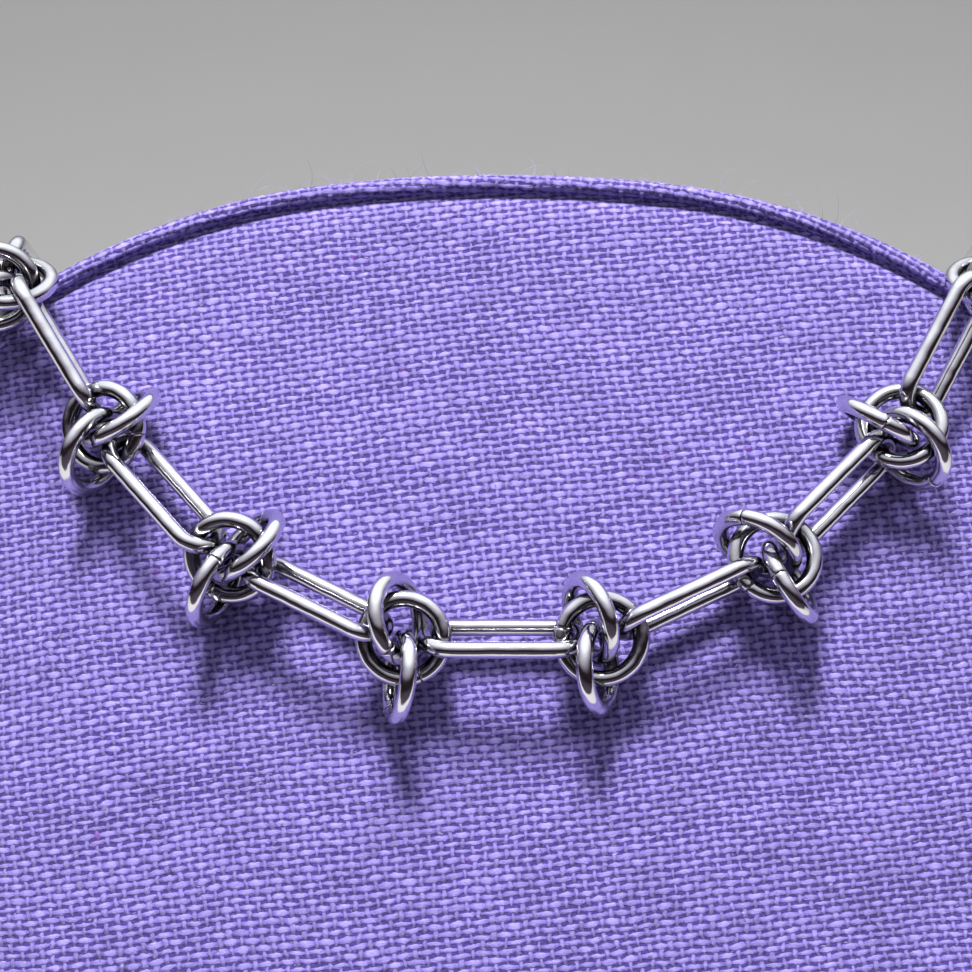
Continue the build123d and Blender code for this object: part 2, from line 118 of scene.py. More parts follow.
def length_size(name, description, default):
    return FloatProperty(name=name, description=description, default=default, unit="LENGTH", precision=5)


def angle_size(name, description, degrees):
    return FloatProperty(
        name=name, description=description, default=math.radians(degrees), subtype="ANGLE"
    )


def colour(name, description, default):
    return FloatVectorProperty(
        name=name, description=description, default=default, size=3, min=0.0, max=1.0, subtype="COLOR"
    )


class ChokerBustSizes(bpy.types.PropertyGroup):
    """Sizes of the bust and its piping."""

    bust_height: length_size("Bust height", "Height of the sharp edge at the top", 0.165)
    lean: angle_size("Lean", "How far the face leans back from upright", 25.0)
    face_radius: length_size("Face radius", "Radius of the rounded face", 0.3)
    crown_radius: length_size("Crown radius", "Radius of the outline at the top", 0.2)
    crown_half_width: length_size("Crown half width", "Where the crown ends", 0.018)
    haunch_radius: length_size("Haunch radius", "Radius of the outline beside the crown", 0.08)
    haunch_half_width: length_size("Haunch half width", "Where the haunch ends", 0.052)
    corner_radius: length_size("Corner radius", "Radius from the haunch to the neck's side", 0.022)
    flare_radius: length_size("Flare radius", "Radius of the hollow from neck to shoulder", 0.04)
    flare_angle: angle_size("Flare angle", "Turn of the hollow", 60.0)
    shoulder_radius: length_size("Shoulder radius", "Radius of the shoulder", 0.025)
    shoulder_side: length_size("Shoulder side", "Straight side under the shoulder", 0.041)
    piping_radius: length_size("Piping radius", "Radius of the piping's middle surface", 0.00098)
    piping_out: length_size("Piping outwards", "From the edge line out to the piping's middle", 0.0002)
    piping_back: length_size("Piping back", "From the face back to the piping's middle", 0.0004)
    edge_roll: length_size("Edge roll", "Depth at which the front panel meets the band", 0.00197)


class ChokerClothSizes(bpy.types.PropertyGroup):
    """Sizes of the cloth's weave."""

    column_pitch: length_size("Column pitch", "From one upright thread to the next", 0.00113)
    row_pitch: length_size("Row pitch", "From one level thread to the next", 0.0008)
    tilt: angle_size("Weave tilt", "How far the level threads rise to the right", 7.0)
    relief: length_size("Relief", "Height of the threads over the holes", 0.00026)
    fibres: IntProperty(name="Stray fibres", description="Loose fibres along the piping", default=420)


class ChokerChainSizes(bpy.types.PropertyGroup):
    """Sizes of the chain's wire."""

    ring_diameter: length_size("Ring diameter", "Outside of a ring", 0.01)
    wire: length_size("Wire", "Thickness of the wire", 0.00175)
    seam: length_size("Seam", "Opening where a ring's ends meet", 0.00007)


class ChokerColours(bpy.types.PropertyGroup):
    """Colours of the piece and of the stage."""

    # the thread colours are lit and shaded copies of one colour: painted light on the threads' tops,
    # painted shade on their sides and in the holes between them
    thread_lit_top: colour("Thread", "Top of the linen's threads", (0.285, 0.235, 0.595))
    thread_side_shade: colour("Thread side", "Sides of the linen's threads", (0.162, 0.117, 0.425))
    hole_shade: colour("Hole", "Between the threads", (0.076, 0.050, 0.240))
    steel: colour("Steel", "Polished wire", (0.82, 0.80, 0.84))
    floor: colour("Floor", "Floor and backdrop", (0.38, 0.373, 0.365))


# Geometry shared by the pieces


def sizes():
    return bpy.context.scene.choker_bust


def cloth():
    return bpy.context.scene.choker_cloth


def chain():
    return bpy.context.scene.choker_chain


def colours():
    return bpy.context.scene.choker_colours


class Face:
    """The rounded, leaning front face: its sharp apex and the ways across, up and out of it."""

    def __init__(self):
        s = sizes()
        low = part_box("bust_form")[0]
        self.radius = s.face_radius
        self.apex = Vector((0.0, low[1] + s.bust_height * math.tan(s.lean), s.bust_height))
        self.x = Vector((1.0, 0.0, 0.0))
        self.y = Vector((0.0, math.sin(s.lean), math.cos(s.lean)))
        self.z = Vector((0.0, -math.cos(s.lean), math.sin(s.lean)))

    def stand(self, across):
        """Gives how far the face stands back at this distance from the middle."""
        return math.sqrt(self.radius**2 - across**2) - self.radius

    def point(self, across, up, out=0.0):
        """Gives the point in space at this place on the face."""
        return self.apex + across * self.x + up * self.y + (self.stand(across) + out) * self.z


def outline_parts():
    """Gives the right half of the outline as runs and arcs: start, end, an arc's middle, if hollow."""
    s = sizes()
    crown_angle = math.asin(s.crown_half_width / s.crown_radius)
    haunch = Vector((
        (s.crown_radius - s.haunch_radius) * math.sin(crown_angle),
        (s.crown_radius - s.haunch_radius) * math.cos(crown_angle) - s.crown_radius,
    ))
    haunch_angle = math.asin((s.haunch_half_width - haunch.x) / s.haunch_radius)
    bend = Vector((math.sin(haunch_angle), math.cos(haunch_angle)))
    corner = haunch + (s.haunch_radius - s.corner_radius) * bend
    side = corner.x + s.corner_radius
    shoulder_foot = s.shoulder_side - s.bust_height / math.cos(s.lean)
    both = s.flare_radius + s.shoulder_radius
    neck_foot = shoulder_foot + both * math.sin(s.flare_angle)
    flare = Vector((side + s.flare_radius, neck_foot))
    way = Vector((math.cos(s.flare_angle), math.sin(s.flare_angle)))
    shoulder = flare - both * way
    crown_bend = Vector((math.sin(crown_angle), math.cos(crown_angle)))
    crown = Vector((0.0, -s.crown_radius))
    points = [
        Vector((0.0, 0.0)),
        crown + s.crown_radius * crown_bend,
        corner + s.corner_radius * bend,
        Vector((side, corner.y)),
        Vector((side, neck_foot)),
        flare - s.flare_radius * way,
        Vector((shoulder.x + s.shoulder_radius, shoulder.y)),
        Vector((shoulder.x + s.shoulder_radius, -s.bust_height / math.cos(s.lean))),
    ]
    middles = [crown, haunch, corner, None, flare, shoulder, None]
    return [(a, b, m, m is flare) for a, b, m in zip(points, points[1:], middles)]


def outline(step):
    """Samples the right half of the outline: place, outward way and length from the apex."""
    samples = []
    run = 0.0
    for start, end, middle, hollow in outline_parts():
        if middle is None:
            reach = (end - start).length
            count = max(1, round(reach / step))
            way = Vector((1.0, 0.0))
            for k in range(count):
                samples.append((start.lerp(end, k / count), way, run + reach * k / count))
        else:
            a, b = start - middle, end - middle
            turn = b.angle_signed(a)
            reach = abs(turn) * a.length
            count = max(2, round(reach / step))
            for k in range(count):
                angle = turn * k / count
                c, s = math.cos(angle), math.sin(angle)
                spoke = Vector((a.x * c - a.y * s, a.x * s + a.y * c))
                way = spoke.normalized() * (-1 if hollow else 1)
                samples.append((middle + spoke, way, run + reach * k / count))
        run += reach
    samples.append((outline_parts()[-1][1], Vector((1.0, 0.0)), run))
    return samples


def turn_outwards(mesh, weld=False):
    """Turns the faces of a mesh outwards, joins its doubled vertices if asked, and smooths it."""
    bm = bmesh.new()
    bm.from_mesh(mesh)
    if weld:
        bmesh.ops.remove_doubles(bm, verts=bm.verts, dist=WELD)
    bmesh.ops.recalc_face_normals(bm, faces=bm.faces)
    bm.to_mesh(mesh)
    bm.free()
    mesh.shade_smooth()


def tube_faces(first, rows, around):
    """Gives the faces of a tube whose rows of vertices start at first, capped at both ends."""
    faces = []
    for row in range(rows - 1):
        a = first + row * around
        b = a + around
        for k in range(around):
            n = (k + 1) % around
            faces.append((a + k, a + n, b + n, b + k))
    last = first + (rows - 1) * around
    faces.append(tuple(first + k for k in range(around - 1, -1, -1)))
    faces.append(tuple(last + k for k in range(around)))
    return faces


def new_object(name, mesh, material, slot, *replaced):
    """Puts a finished mesh in the scene as a piece of the part."""
    obj = bpy.data.objects.new(name, mesh)
    bpy.context.scene.collection.objects.link(obj)
    mesh.materials.append(material)
    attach(obj, "root")
    if replaced:
        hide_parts(*replaced)


# Shader nodes

# How the threads wander: scale a millimetre, reach in millimetres and detail of the noise
THREAD_WAVES = ((0.045, 1.7, 0.0), (0.28, 0.36, 0.0), (0.9, 0.37, 1.0), (3.2, 0.18, 0.0))

# The weave's relief, in shares of the cloth's relief: how far a level and an upright thread rise at
# their crossings, how round they are, how deep the holes lie and how high single fibres stand
LEVEL_RISE = 0.42
UPRIGHT_RISE = -0.36
THREAD_ROUND = 0.52
HOLE_DEPTH = -0.55
FIBRE_RELIEF = 0.46

# Pale bleached fibres, dark specks and magenta flecks in the cloth: stretch across and along, seed,
# scale, detail and roughness of the noise, ramp to the mark's share, and colour
CLOTH_MARKS = (
    (0.9, 2.4, 11.0, 1.0, 2.0, 0.5, (0.66, 0.74, 0.0, 0.55), (0.42, 0.39, 0.58)),
    (1.0, 1.0, 23.0, 0.75, 2.0, 0.6, (0.69, 0.75, 0.0, 0.6), (0.033, 0.02, 0.06)),
    (1.0, 1.0, 41.0, 0.42, 2.0, 0.5, (0.735, 0.78, 0.0, 0.75), (0.22, 0.06, 0.35)),
)
SHEEN_COLOUR = (0.72, 0.62, 1.0)

# Steel: the colour of its tarnish, and how near other pieces have to be for painted shade to darken it
TARNISH = (0.72, 0.68, 0.71)
PAINTED_SHADE_REACH = 0.006


class Net:
    """Builds shader nodes, with numbers or sockets as inputs."""

    def __init__(self, name):
        self.material = bpy.data.materials.new(name)
        self.material.use_nodes = True
        self.tree = self.material.node_tree
        self.tree.nodes.clear()

    def node(self, kind, **settings):
        node = self.tree.nodes.new(kind)
        for key, value in settings.items():
            setattr(node, key, value)
        return node

    def put(self, socket, value):
        if isinstance(value, bpy.types.NodeSocket):
            self.tree.links.new(value, socket)
        elif value is not None:
            socket.default_value = value

    def math(self, operation, a, b=None, c=None):
        node = self.node("ShaderNodeMath", operation=operation)
        for socket, value in zip(node.inputs, (a, b, c)):
            self.put(socket, value)
        return node.outputs[0]

    def add(self, a, b):
        return self.math("ADD", a, b)

    def times(self, a, b):
        return self.math("MULTIPLY", a, b)

    def less(self, a, b):
        return self.math("SUBTRACT", a, b)

    def scaled(self, a, factor, start):
        return self.math("MULTIPLY_ADD", a, factor, start)

    def combine(self, x, y, z=0.0):
        node = self.node("ShaderNodeCombineXYZ")
        for socket, value in zip(node.inputs, (x, y, z)):
            self.put(socket, value)
        return node.outputs[0]

    def noise(self, vector, scale=1.0, detail=2.0, rough=0.5):
        node = self.node("ShaderNodeTexNoise")
        self.put(node.inputs["Vector"], vector)
        self.put(node.inputs["Scale"], scale)
        self.put(node.inputs["Detail"], detail)
        self.put(node.inputs["Roughness"], rough)
        return node.outputs[0]

    def ramp(self, value, stops):
        node = self.node("ShaderNodeMapRange", interpolation_type="SMOOTHSTEP")
        for socket, number in zip(node.inputs, (value,) + stops):
            self.put(socket, number)
        return node.outputs[0]

    def mix(self, factor, a, b, blend="MIX"):
        node = self.node("ShaderNodeMix", data_type="RGBA", blend_type=blend)
        self.put(node.inputs["Factor"], factor)
        self.put(node.inputs["A"], a)
        self.put(node.inputs["B"], b)
        return node.outputs["Result"]

    def bump(self, height, distance, normal=None):
        node = self.node("ShaderNodeBump")
        self.put(node.inputs["Height"], height)
        self.put(node.inputs["Distance"], distance)
        self.put(node.inputs["Strength"], 1.0)
        self.put(node.inputs["Normal"], normal)
        return node.outputs[0]

    def shade(self, **values):
        shader = self.node("ShaderNodeBsdfPrincipled")
        for key, value in values.items():
            self.put(shader.inputs[key.replace("_", " ")], value)
        output = self.node("ShaderNodeOutputMaterial")
        self.tree.links.new(shader.outputs[0], output.inputs["Surface"])
        return self.material


def rgba(value, factor=1.0):
    return (value[0] * factor, value[1] * factor, value[2] * factor, 1.0)


def cloth_places(net, tilt):
    """Gives the flat place on the cloth in millimetres, and the place across and along its threads."""
    parts = net.node("ShaderNodeSeparateXYZ")
    net.put(parts.inputs[0], net.node("ShaderNodeUVMap", uv_map="cloth").outputs[0])
    x, y = net.times(parts.outputs[0], 1000.0), net.times(parts.outputs[1], 1000.0)
    ca, sa = math.cos(tilt), math.sin(tilt)
    across = net.add(net.times(x, ca), net.times(y, sa))
    along = net.less(net.times(y, ca), net.times(x, sa))
    flat = net.combine(across, along)
    for scale, reach, detail in THREAD_WAVES:
        wave = net.noise(flat, scale, detail)
        across = net.scaled(wave, reach, net.less(across, reach / 2))
        wave = net.noise(net.combine(along, across, 7.3), scale, detail)
        along = net.scaled(wave, reach * 0.8, net.less(along, reach * 0.4))
    return flat, across, along


def weave(net, across, along):
    """Gives the height of the threads, if a level thread is on top, and a number for each crossing."""
    w = cloth()
    u = net.math("DIVIDE", across, w.column_pitch * 1000)
    v = net.math("DIVIDE", along, w.row_pitch * 1000)
    i, j = net.math("FLOOR", u), net.math("FLOOR", v)
    # each thread's own thickness and wander
    thick_i = net.noise(net.combine(net.times(i, 1.37), net.times(v, 0.16), 3.1), 1.0, 0.0)
    thick_j = net.noise(net.combine(net.times(u, 0.13), net.times(j, 1.37), 8.7), 1.0, 0.0)
    wander_i = net.noise(net.combine(net.times(i, 2.13), net.times(v, 0.6), 1.7), 1.0, 0.0)
    wander_j = net.noise(net.combine(net.times(u, 0.6), net.times(j, 2.13), 4.4), 1.0, 0.0)
    share_u, share_v = net.less(u, i), net.less(v, j)
    off_i = net.less(share_u, net.scaled(wander_i, 0.19, 0.405))
    off_j = net.less(share_v, net.scaled(wander_j, 0.19, 0.405))
    half_i = net.scaled(thick_i, 0.22, 0.09)
    half_j = net.scaled(thick_j, 0.29, 0.185)
    # which thread is on top swaps from one crossing to the next
    swap = net.scaled(net.math("FLOORED_MODULO", net.add(i, j), 2.0), -2.0, 1.0)
    rise_j = net.times(net.times(swap, LEVEL_RISE), net.math("SINE", net.times(share_u, math.pi)))
    rise_i = net.times(net.times(swap, UPRIGHT_RISE), net.math("SINE", net.times(share_v, math.pi)))
    heights = []
    for offset, half, rise in ((off_j, half_j, rise_j), (off_i, half_i, rise_i)):
        # a thread swells where it comes to the top
        half = net.times(half, net.scaled(rise, 0.42, 0.94))
        share = net.math("DIVIDE", offset, half)
        round_off = net.less(1.0, net.times(share, share))
        profile = net.math("SQRT", net.math("MAXIMUM", round_off, 0.0))
        outside = net.math("LESS_THAN", round_off, 0.0)
        over = net.scaled(profile, THREAD_ROUND, rise)
        heights.append(net.scaled(outside, -2.0, over))
    level, upright = heights
    top = net.math("MAXIMUM", net.math("MAXIMUM", level, upright), HOLE_DEPTH)
    is_level = net.math("GREATER_THAN", level, upright)
    each = net.node("ShaderNodeTexWhiteNoise")
    net.put(each.inputs["Vector"], net.combine(net.add(i, 0.5), net.add(j, 0.5), is_level))
    return top, is_level, each.outputs["Value"]


def linen_material(name, tilt, fuzz):
    """Plain weave of uneven threads: relief, painted shade between the threads and on their sides,
    patches and flecks.
    """
    c = colours()
    net = Net(name)
    flat, across, along = cloth_places(net, tilt)
    top, is_level, crossing = weave(net, across, along)
    # fibres run along whichever thread is on top, three a millimetre along it and sixteen across
    fibre_x = net.times(across, net.scaled(is_level, -13.0, 16.0))
    fibre_y = net.times(along, net.scaled(is_level, 13.0, 3.0))
    fibre = net.noise(net.combine(fibre_x, fibre_y), 1.0, 2.0, 0.6)
    height = net.scaled(fibre, FIBRE_RELIEF, net.less(top, FIBRE_RELIEF / 2))
    # painted shade: the colour goes from dark in the holes over the threads' shaded sides to their lit
    # tops, standing in for the shade between the threads
    deep = net.ramp(top, (-0.45, 0.18, 0.0, 1.0))
    high = net.ramp(height, (0.05, 0.95, 0.0, 1.0))
    tone = net.mix(deep, rgba(c.hole_shade), rgba(c.thread_side_shade))
    tone = net.mix(high, tone, rgba(c.thread_lit_top))
    # each crossing, patch and fibre has its own brightness, and upright threads are darker
    patch = net.noise(flat, 0.12, 2.0, 0.6)
    bright = net.scaled(crossing, 0.34, net.scaled(patch, 0.52, 0.30))
    bright = net.scaled(fibre, 0.60, bright)
    bright = net.times(bright, net.scaled(is_level, 0.20, 0.80))
    tone = net.mix(1.0, tone, net.combine(bright, bright, bright), "MULTIPLY")
    for stretch_x, stretch_y, seed, scale, detail, rough, reach, mark in CLOTH_MARKS:
        place = net.combine(net.times(across, stretch_x), net.times(along, stretch_y), seed)
        share = net.ramp(net.noise(place, scale, detail, rough), reach)
        tone = net.mix(share, tone, rgba(mark))
    return net.shade(
        Base_Color=tone,
        Roughness=0.86,
        Normal=net.bump(height, cloth().relief),
        Sheen_Weight=fuzz,
        Sheen_Roughness=0.45,
        Sheen_Tint=rgba(SHEEN_COLOUR),
        Specular_IOR_Level=0.18,
    )


def steel_material(name, tone=1.0):
    """Polished wire with faint waves, fine scratches, a trace of tarnish in places and painted shade
    where other pieces lie near.
    """
    net = Net(name)
    where = net.node("ShaderNodeTexCoord").outputs["Object"]
    # scales are by the metre: waves some 2 mm apart, scratches 0.2 mm and stains 6 mm
    waves = net.noise(where, 420.0, 1.0)
    scratches = net.noise(where, 5200.0, 2.0, 0.7)
    stain = net.ramp(net.noise(where, 160.0, 3.0), (0.5, 0.78, 0.0, 0.4))
    tint = net.mix(stain, rgba(colours().steel, tone), rgba(TARNISH))
    # painted shade: the wire's colour is darkened where other wire or the cloth lies within reach,
    # standing in for the shade inside the knots and under the wire
    shade_probe = net.node("ShaderNodeAmbientOcclusion", samples=3)
    shade_probe.inputs["Distance"].default_value = PAINTED_SHADE_REACH
    unshaded_share = net.ramp(shade_probe.outputs["AO"], (0.28, 0.97, 0.13, 1.0))
    tint = net.mix(1.0, tint, net.combine(unshaded_share, unshaded_share, unshaded_share), "MULTIPLY")
    rough = net.scaled(scratches, 0.05, net.scaled(stain, 0.1, 0.085))
    normal = net.bump(scratches, 0.000004)
    normal = net.bump(waves, 0.00014, normal)
    return net.shade(Base_Color=tint, Metallic=1.0, Roughness=rough, Normal=normal)


# Pieces


def put_cloth_map(mesh, places):
    """Stores each vertex's place on the cloth, in metres, as the map that the weave follows."""
    layer = mesh.uv_layers.new(name="cloth")
    index = np.empty(len(mesh.loops), int)
    mesh.loops.foreach_get("vertex_index", index)
    layer.data.foreach_set("uv", np.asarray(places, np.float32)[index].ravel())


class CHOKER_OT_front_panel(bpy.types.Operator):
    """Stretches the linen front panel over the face and rolls its edge down by the piping"""

    bl_idname = "choker.front_panel"
    bl_label = "Front panel"

    def execute(self, context):
        s, face = sizes(), Face()
        samples = outline(PANEL_STEP)
        # how far in from the edge line, and how far under the face, from the flat outwards
        roll = [(inward * s.edge_roll, drop * s.edge_roll) for inward, drop in PANEL_ROLL]
        points, places, faces = [], [], []

        def put(across, up, drop):
            wave = noise.noise(Vector((across * PANEL_WAVES, up * PANEL_WAVES, 3.0))) * PANEL_WAVE_HEIGHT
            p = face.point(across, up, wave - drop)
            # what would reach under the floor slides up the face
            points.append(p + max(0.0, PANEL_FLOOR_GAP - p.z) / face.y.z * face.y)
            places.append((across, up))
            return len(points) - 1

        rows, edges = [], []
        for place, way, run in samples:
            first = place - way * roll[0][0]
            half = max(first.x, 0.0)
            shares = [2 * k / PANEL_COLUMNS - 1 for k in range(PANEL_COLUMNS + 1)]
            rows.append([put(half * share, first.y, 0.0) for share in shares])
            edge = []
            for side, start in ((-1, rows[-1][0]), (1, rows[-1][-1])):
                strip = [start]
                for inward, drop in roll[1:]:
                    p = place - way * inward
                    strip.append(put(side * p.x, p.y, drop))
                edge.append(strip)
            edges.append(edge)
        for a, b in zip(rows, rows[1:]):
            faces += [(a[k], b[k], b[k + 1], a[k + 1]) for k in range(PANEL_COLUMNS)]
        for a, b in zip(edges, edges[1:]):
            for k in range(len(roll) - 1):
                faces.append((a[0][k], a[0][k + 1], b[0][k + 1], b[0][k]))
                faces.append((a[1][k], b[1][k], b[1][k + 1], a[1][k + 1]))
        mesh = bpy.data.meshes.new("linen_front")
        mesh.from_pydata(points, [], faces)
        put_cloth_map(mesh, places)
        turn_outwards(mesh, weld=True)
        material = linen_material("linen_front", cloth().tilt, 0.16)
        new_object("linen_front", mesh, material, "linen")
        return {"FINISHED"}


class CHOKER_OT_band_and_back(bpy.types.Operator):
    """Covers the bust's sides, back and foot with the same linen"""

    bl_idname = "choker.band_and_back"
    bl_label = "Band and back"

    def execute(self, context):
        face = Face()
        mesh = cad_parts["bust_form"].data.copy()
        mesh.name = "linen_band"
        mesh.materials.clear()
        while mesh.uv_layers:
            mesh.uv_layers.remove(mesh.uv_layers[0])
        bm = bmesh.new()
        bm.from_mesh(mesh)
        bmesh.ops.remove_doubles(bm, verts=bm.verts, dist=WELD)
        front = [f for f in bm.faces if f.normal.dot(face.z) > PANEL_FACING]
        bmesh.ops.delete(bm, geom=front, context="FACES")
        bm.to_mesh(mesh)
        bm.free()
        samples = outline(BAND_STEP)
        line = np.array([tuple(p) for p, way, run in samples])
        runs = np.array([run for p, way, run in samples])
        back = max(v.co.y for v in mesh.vertices)
        places = []
        for v in mesh.vertices:
            local = v.co - face.apex
            across, up, out = local.dot(face.x), local.dot(face.y), local.dot(face.z)
            k = int(np.argmin(np.hypot(line[:, 0] - abs(across), line[:, 1] - up)))
            if v.co.y > back - TOUCH or v.co.z < TOUCH:
                places.append((across, v.co.z + v.co.y))
            else:
                places.append((math.copysign(runs[k], across), out))
        put_cloth_map(mesh, places)
        mesh.shade_smooth()
        mesh.set_sharp_from_angle(angle=BAND_CREASE)
        material = linen_material("linen_band", 0.0, 0.16)
        new_object("linen_band", mesh, material, "linen", "bust_form")
        return {"FINISHED"}


class CHOKER_OT_piping(bpy.types.Operator):
    """Runs the covered cord along the front rim, its weave raised on it"""

    bl_idname = "choker.piping"
    bl_label = "Rim piping"

    def execute(self, context):
        s, face = sizes(), Face()
        lowest = PIPING_END * s.piping_radius
        right = [q for q in outline(PIPING_STEP) if face.point(q[0].x, q[0].y).z > lowest]
        left = [(Vector((-p.x, p.y)), Vector((-way.x, way.y)), -run) for p, way, run in right[1:]]
        line = left[::-1] + right
        points, places = [], []
        for p, way, run in line:
            side = (way.x * face.x + way.y * face.y).normalized()
            middle = face.point(p.x, p.y, -s.piping_back) + s.piping_out * side
            for k in range(PIPING_AROUND):
                turn = 2 * math.pi * k / PIPING_AROUND
                strip = s.piping_radius * turn
                radius = self.radius(run, strip, s.piping_radius)
                points.append(middle + radius * (math.cos(turn) * side + math.sin(turn) * face.z))
                places.append((run, strip))
        mesh = bpy.data.meshes.new("piping_cord")
        mesh.from_pydata(points, [], tube_faces(0, len(line), PIPING_AROUND))
        put_cloth_map(mesh, places)
        turn_outwards(mesh)
        material = linen_material("piping_linen", PIPING_BIAS, 0.26)
        new_object("piping_cord", mesh, material, "piping_linen", "rim_piping")
        return {"FINISHED"}

    def radius(self, run, strip, middle_radius):
        """Gives the cord's radius at a place along it and around it, with the threads raised."""
        ca, sa = math.cos(PIPING_BIAS), math.sin(PIPING_BIAS)
        u = (run * ca + strip * sa) / PIPING_COLUMN
        v = (strip * ca - run * sa) / PIPING_ROW
        u += 0.45 * noise.noise(Vector((run * 260, strip * 500, 8.0)))
        v += 0.35 * noise.noise(Vector((run * 260, strip * 500, 4.0)))
        swap = 1 if (math.floor(u) + math.floor(v)) % 2 else -1
        cu, cv = u - math.floor(u) - 0.5, v - math.floor(v) - 0.5
        level = swap * math.cos(math.pi * cu) - PIPING_SLOPE * abs(cv)
        upright = -swap * math.cos(math.pi * cv) - PIPING_SLOPE * abs(cu)
        over = max(level, upright, -1.0)
        rough = noise.noise(Vector((run * 1500, strip * 1500, 1.0)))
        radius = middle_radius * (1.0 + PIPING_THREAD * over + PIPING_FIBRE * rough)
        return radius * (1.0 + PIPING_SWELL * noise.noise(Vector((run * 90, 0.0, 5.0))))


class CHOKER_OT_stray_fibres(bpy.types.Operator):
    """Lets fine loose fibres stand out of the piping"""

    bl_idname = "choker.stray_fibres"
    bl_label = "Stray fibres"

    def execute(self, context):
        rng = random.Random(11)
        s, face = sizes(), Face()
        curve = bpy.data.curves.new("stray_fibres", "CURVE")
        curve.dimensions = "3D"
        curve.bevel_depth = FIBRE_THICKNESS / 2
        curve.bevel_resolution = 0
        samples = [q for q in outline(FIBRE_STEP) if q[0].y > FIBRE_LOWEST]
        for _ in range(cloth().fibres):
            p, way, run = rng.choice(samples)
            flip = rng.choice((-1, 1))
            side = (flip * way.x * face.x + way.y * face.y).normalized()
            forward = face.z.cross(side)
            turn = rng.gauss(0.35, 0.75)
            start = face.point(flip * p.x, p.y, -s.piping_back) + s.piping_out * side
            push = (math.cos(turn) * side + math.sin(turn) * face.z).normalized()
            start += s.piping_radius * 0.96 * push
            span = FIBRE_SHORT if rng.random() < FIBRE_SHORT_SHARE else FIBRE_LONG
            reach = rng.uniform(*span)
            lean = 0.9 * rng.uniform(-1, 1) * forward + 0.4 * rng.uniform(-1, 1) * face.z
            heading = (push + lean).normalized()
            curl = rng.uniform(-1.0, 1.0) * 1.3
            bend = Matrix.Rotation(curl * 2.2 / FIBRE_JOINTS, 3, face.z)
            spline = curve.splines.new("POLY")
            spline.points.add(FIBRE_JOINTS)
            place = start.copy()
            for k in range(FIBRE_JOINTS + 1):
                spline.points[k].co = (place.x, place.y, place.z, 1.0)
                spline.points[k].radius = 1.0 - 0.6 * k / FIBRE_JOINTS
                heading = (bend @ heading).normalized()
                place = place + heading * reach / FIBRE_JOINTS
        net = Net("fibre")
        shade = net.noise(net.node("ShaderNodeTexCoord").outputs["Object"], 900.0)
        tone = net.mix(shade, (0.20, 0.15, 0.38, 1.0), (0.52, 0.47, 0.68, 1.0))
        material = net.shade(Base_Color=tone, Roughness=0.7, Specular_IOR_Level=0.3)
        new_object("stray_fibres", curve, material, "piping_linen")
        return {"FINISHED"}


def ring_places(node):
    """Gives the middle and axis of each ring of a knot, read from its solid."""
    bm = bmesh.new()
    bm.from_mesh(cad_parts[node].data)
    bmesh.ops.remove_doubles(bm, verts=bm.verts, dist=WELD)
    seen, rings = set(), []
    for first in bm.verts:
        if first in seen:
            continue
        island, queue = [], [first]
        seen.add(first)
        while queue:
            vert = queue.pop()
            island.append(vert)
            for edge in vert.link_edges:
                other = edge.other_vert(vert)
                if other not in seen:
                    seen.add(other)
                    queue.append(other)
        faces = {f for v in island for f in v.link_faces}
        area = sum(f.calc_area() for f in faces)
        middle = sum((f.calc_area() * f.calc_center_median() for f in faces), Vector()) / area
        spread = np.zeros((3, 3))
        for f in faces:
            d = np.array(f.calc_center_median() - middle)
            spread += f.calc_area() * np.outer(d, d)
        # a flat ring spreads least along its axis
        rings.append((middle, Vector(np.linalg.eigh(spread)[1][:, 0]).normalized()))
    bm.free()
    return rings


class CHOKER_OT_knot_rings(bpy.types.Operator):
    """Bends each knot's rings from round wire, with the fine seam where a ring's ends meet"""

    bl_idname = "choker.knot_rings"
    bl_label = "Knot rings"

    def execute(self, context):
        c = chain()
        wire, radius = c.wire / 2, (c.ring_diameter - c.wire) / 2
        material = steel_material("ring_steel")
        rng = random.Random(5)
        for node in KNOTS:
            points, faces = [], []
            for middle, axis in ring_places(node):
                start = rng.uniform(0, 2 * math.pi)
                x = axis.cross(Vector((0.3, 0.2, 1.0))).normalized()
                y = axis.cross(x)
                askew = rng.uniform(-1, 1) * ENDS_MISS
                first = len(points)
                stations = self.stations(c.seam / radius, radius)
                for turn, size in stations:
                    share = turn / (2 * math.pi)
                    out = math.cos(start + turn) * x + math.sin(start + turn) * y
                    centre = middle + radius * out + askew * (share - 0.5) * axis
                    for k in range(WIRE_AROUND):
                        a = 2 * math.pi * k / WIRE_AROUND
                        points.append(centre + wire * size * (math.cos(a) * out + math.sin(a) * axis))
                faces += tube_faces(first, len(stations), WIRE_AROUND)
            mesh = bpy.data.meshes.new(f"{node}_rings")
            mesh.from_pydata(points, [], faces)
            turn_outwards(mesh)
            mesh.set_sharp_from_angle(angle=WIRE_CREASE)
            new_object(f"{node}_rings", mesh, material, "ring_steel", node)
        return {"FINISHED"}

    def stations(self, opening, radius):
        """Gives the turns around a ring from one end to the other, with the wire's size at each."""
        stations = [(opening / 2 + d / radius, size) for d, size in RING_LIPS]
        span = 2 * math.pi - 2 * stations[-1][0]
        stations += [(stations[-1][0] + span * k / RING_ALONG, 1.0) for k in range(1, RING_ALONG)]
        stations += [(2 * math.pi - opening / 2 - d / radius, size) for d, size in reversed(RING_LIPS)]
        return stations


class CHOKER_OT_links_and_clasp(bpy.types.Operator):
    """Polishes the long links and the clasp"""

    bl_idname = "choker.links_and_clasp"
    bl_label = "Links and clasp"

    def execute(self, context):
        steel = steel_material("link_steel")
        clasp = steel_material("clasp_steel", 0.95)
        for name in LINKS + ["clasp"]:
            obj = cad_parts[name]
            for slot in obj.material_slots:
                slot.material = clasp if name == "clasp" else steel
        return {"FINISHED"}


# Floor and backdrop, seen from the side: front edge, start, radius and top of the curve, half width
FLOOR_FRONT = -0.115
FLOOR_BACK = 0.65
BACKDROP_RADIUS = 0.25
BACKDROP_TOP = 0.36
FLOOR_HALF_WIDTH = 1.4

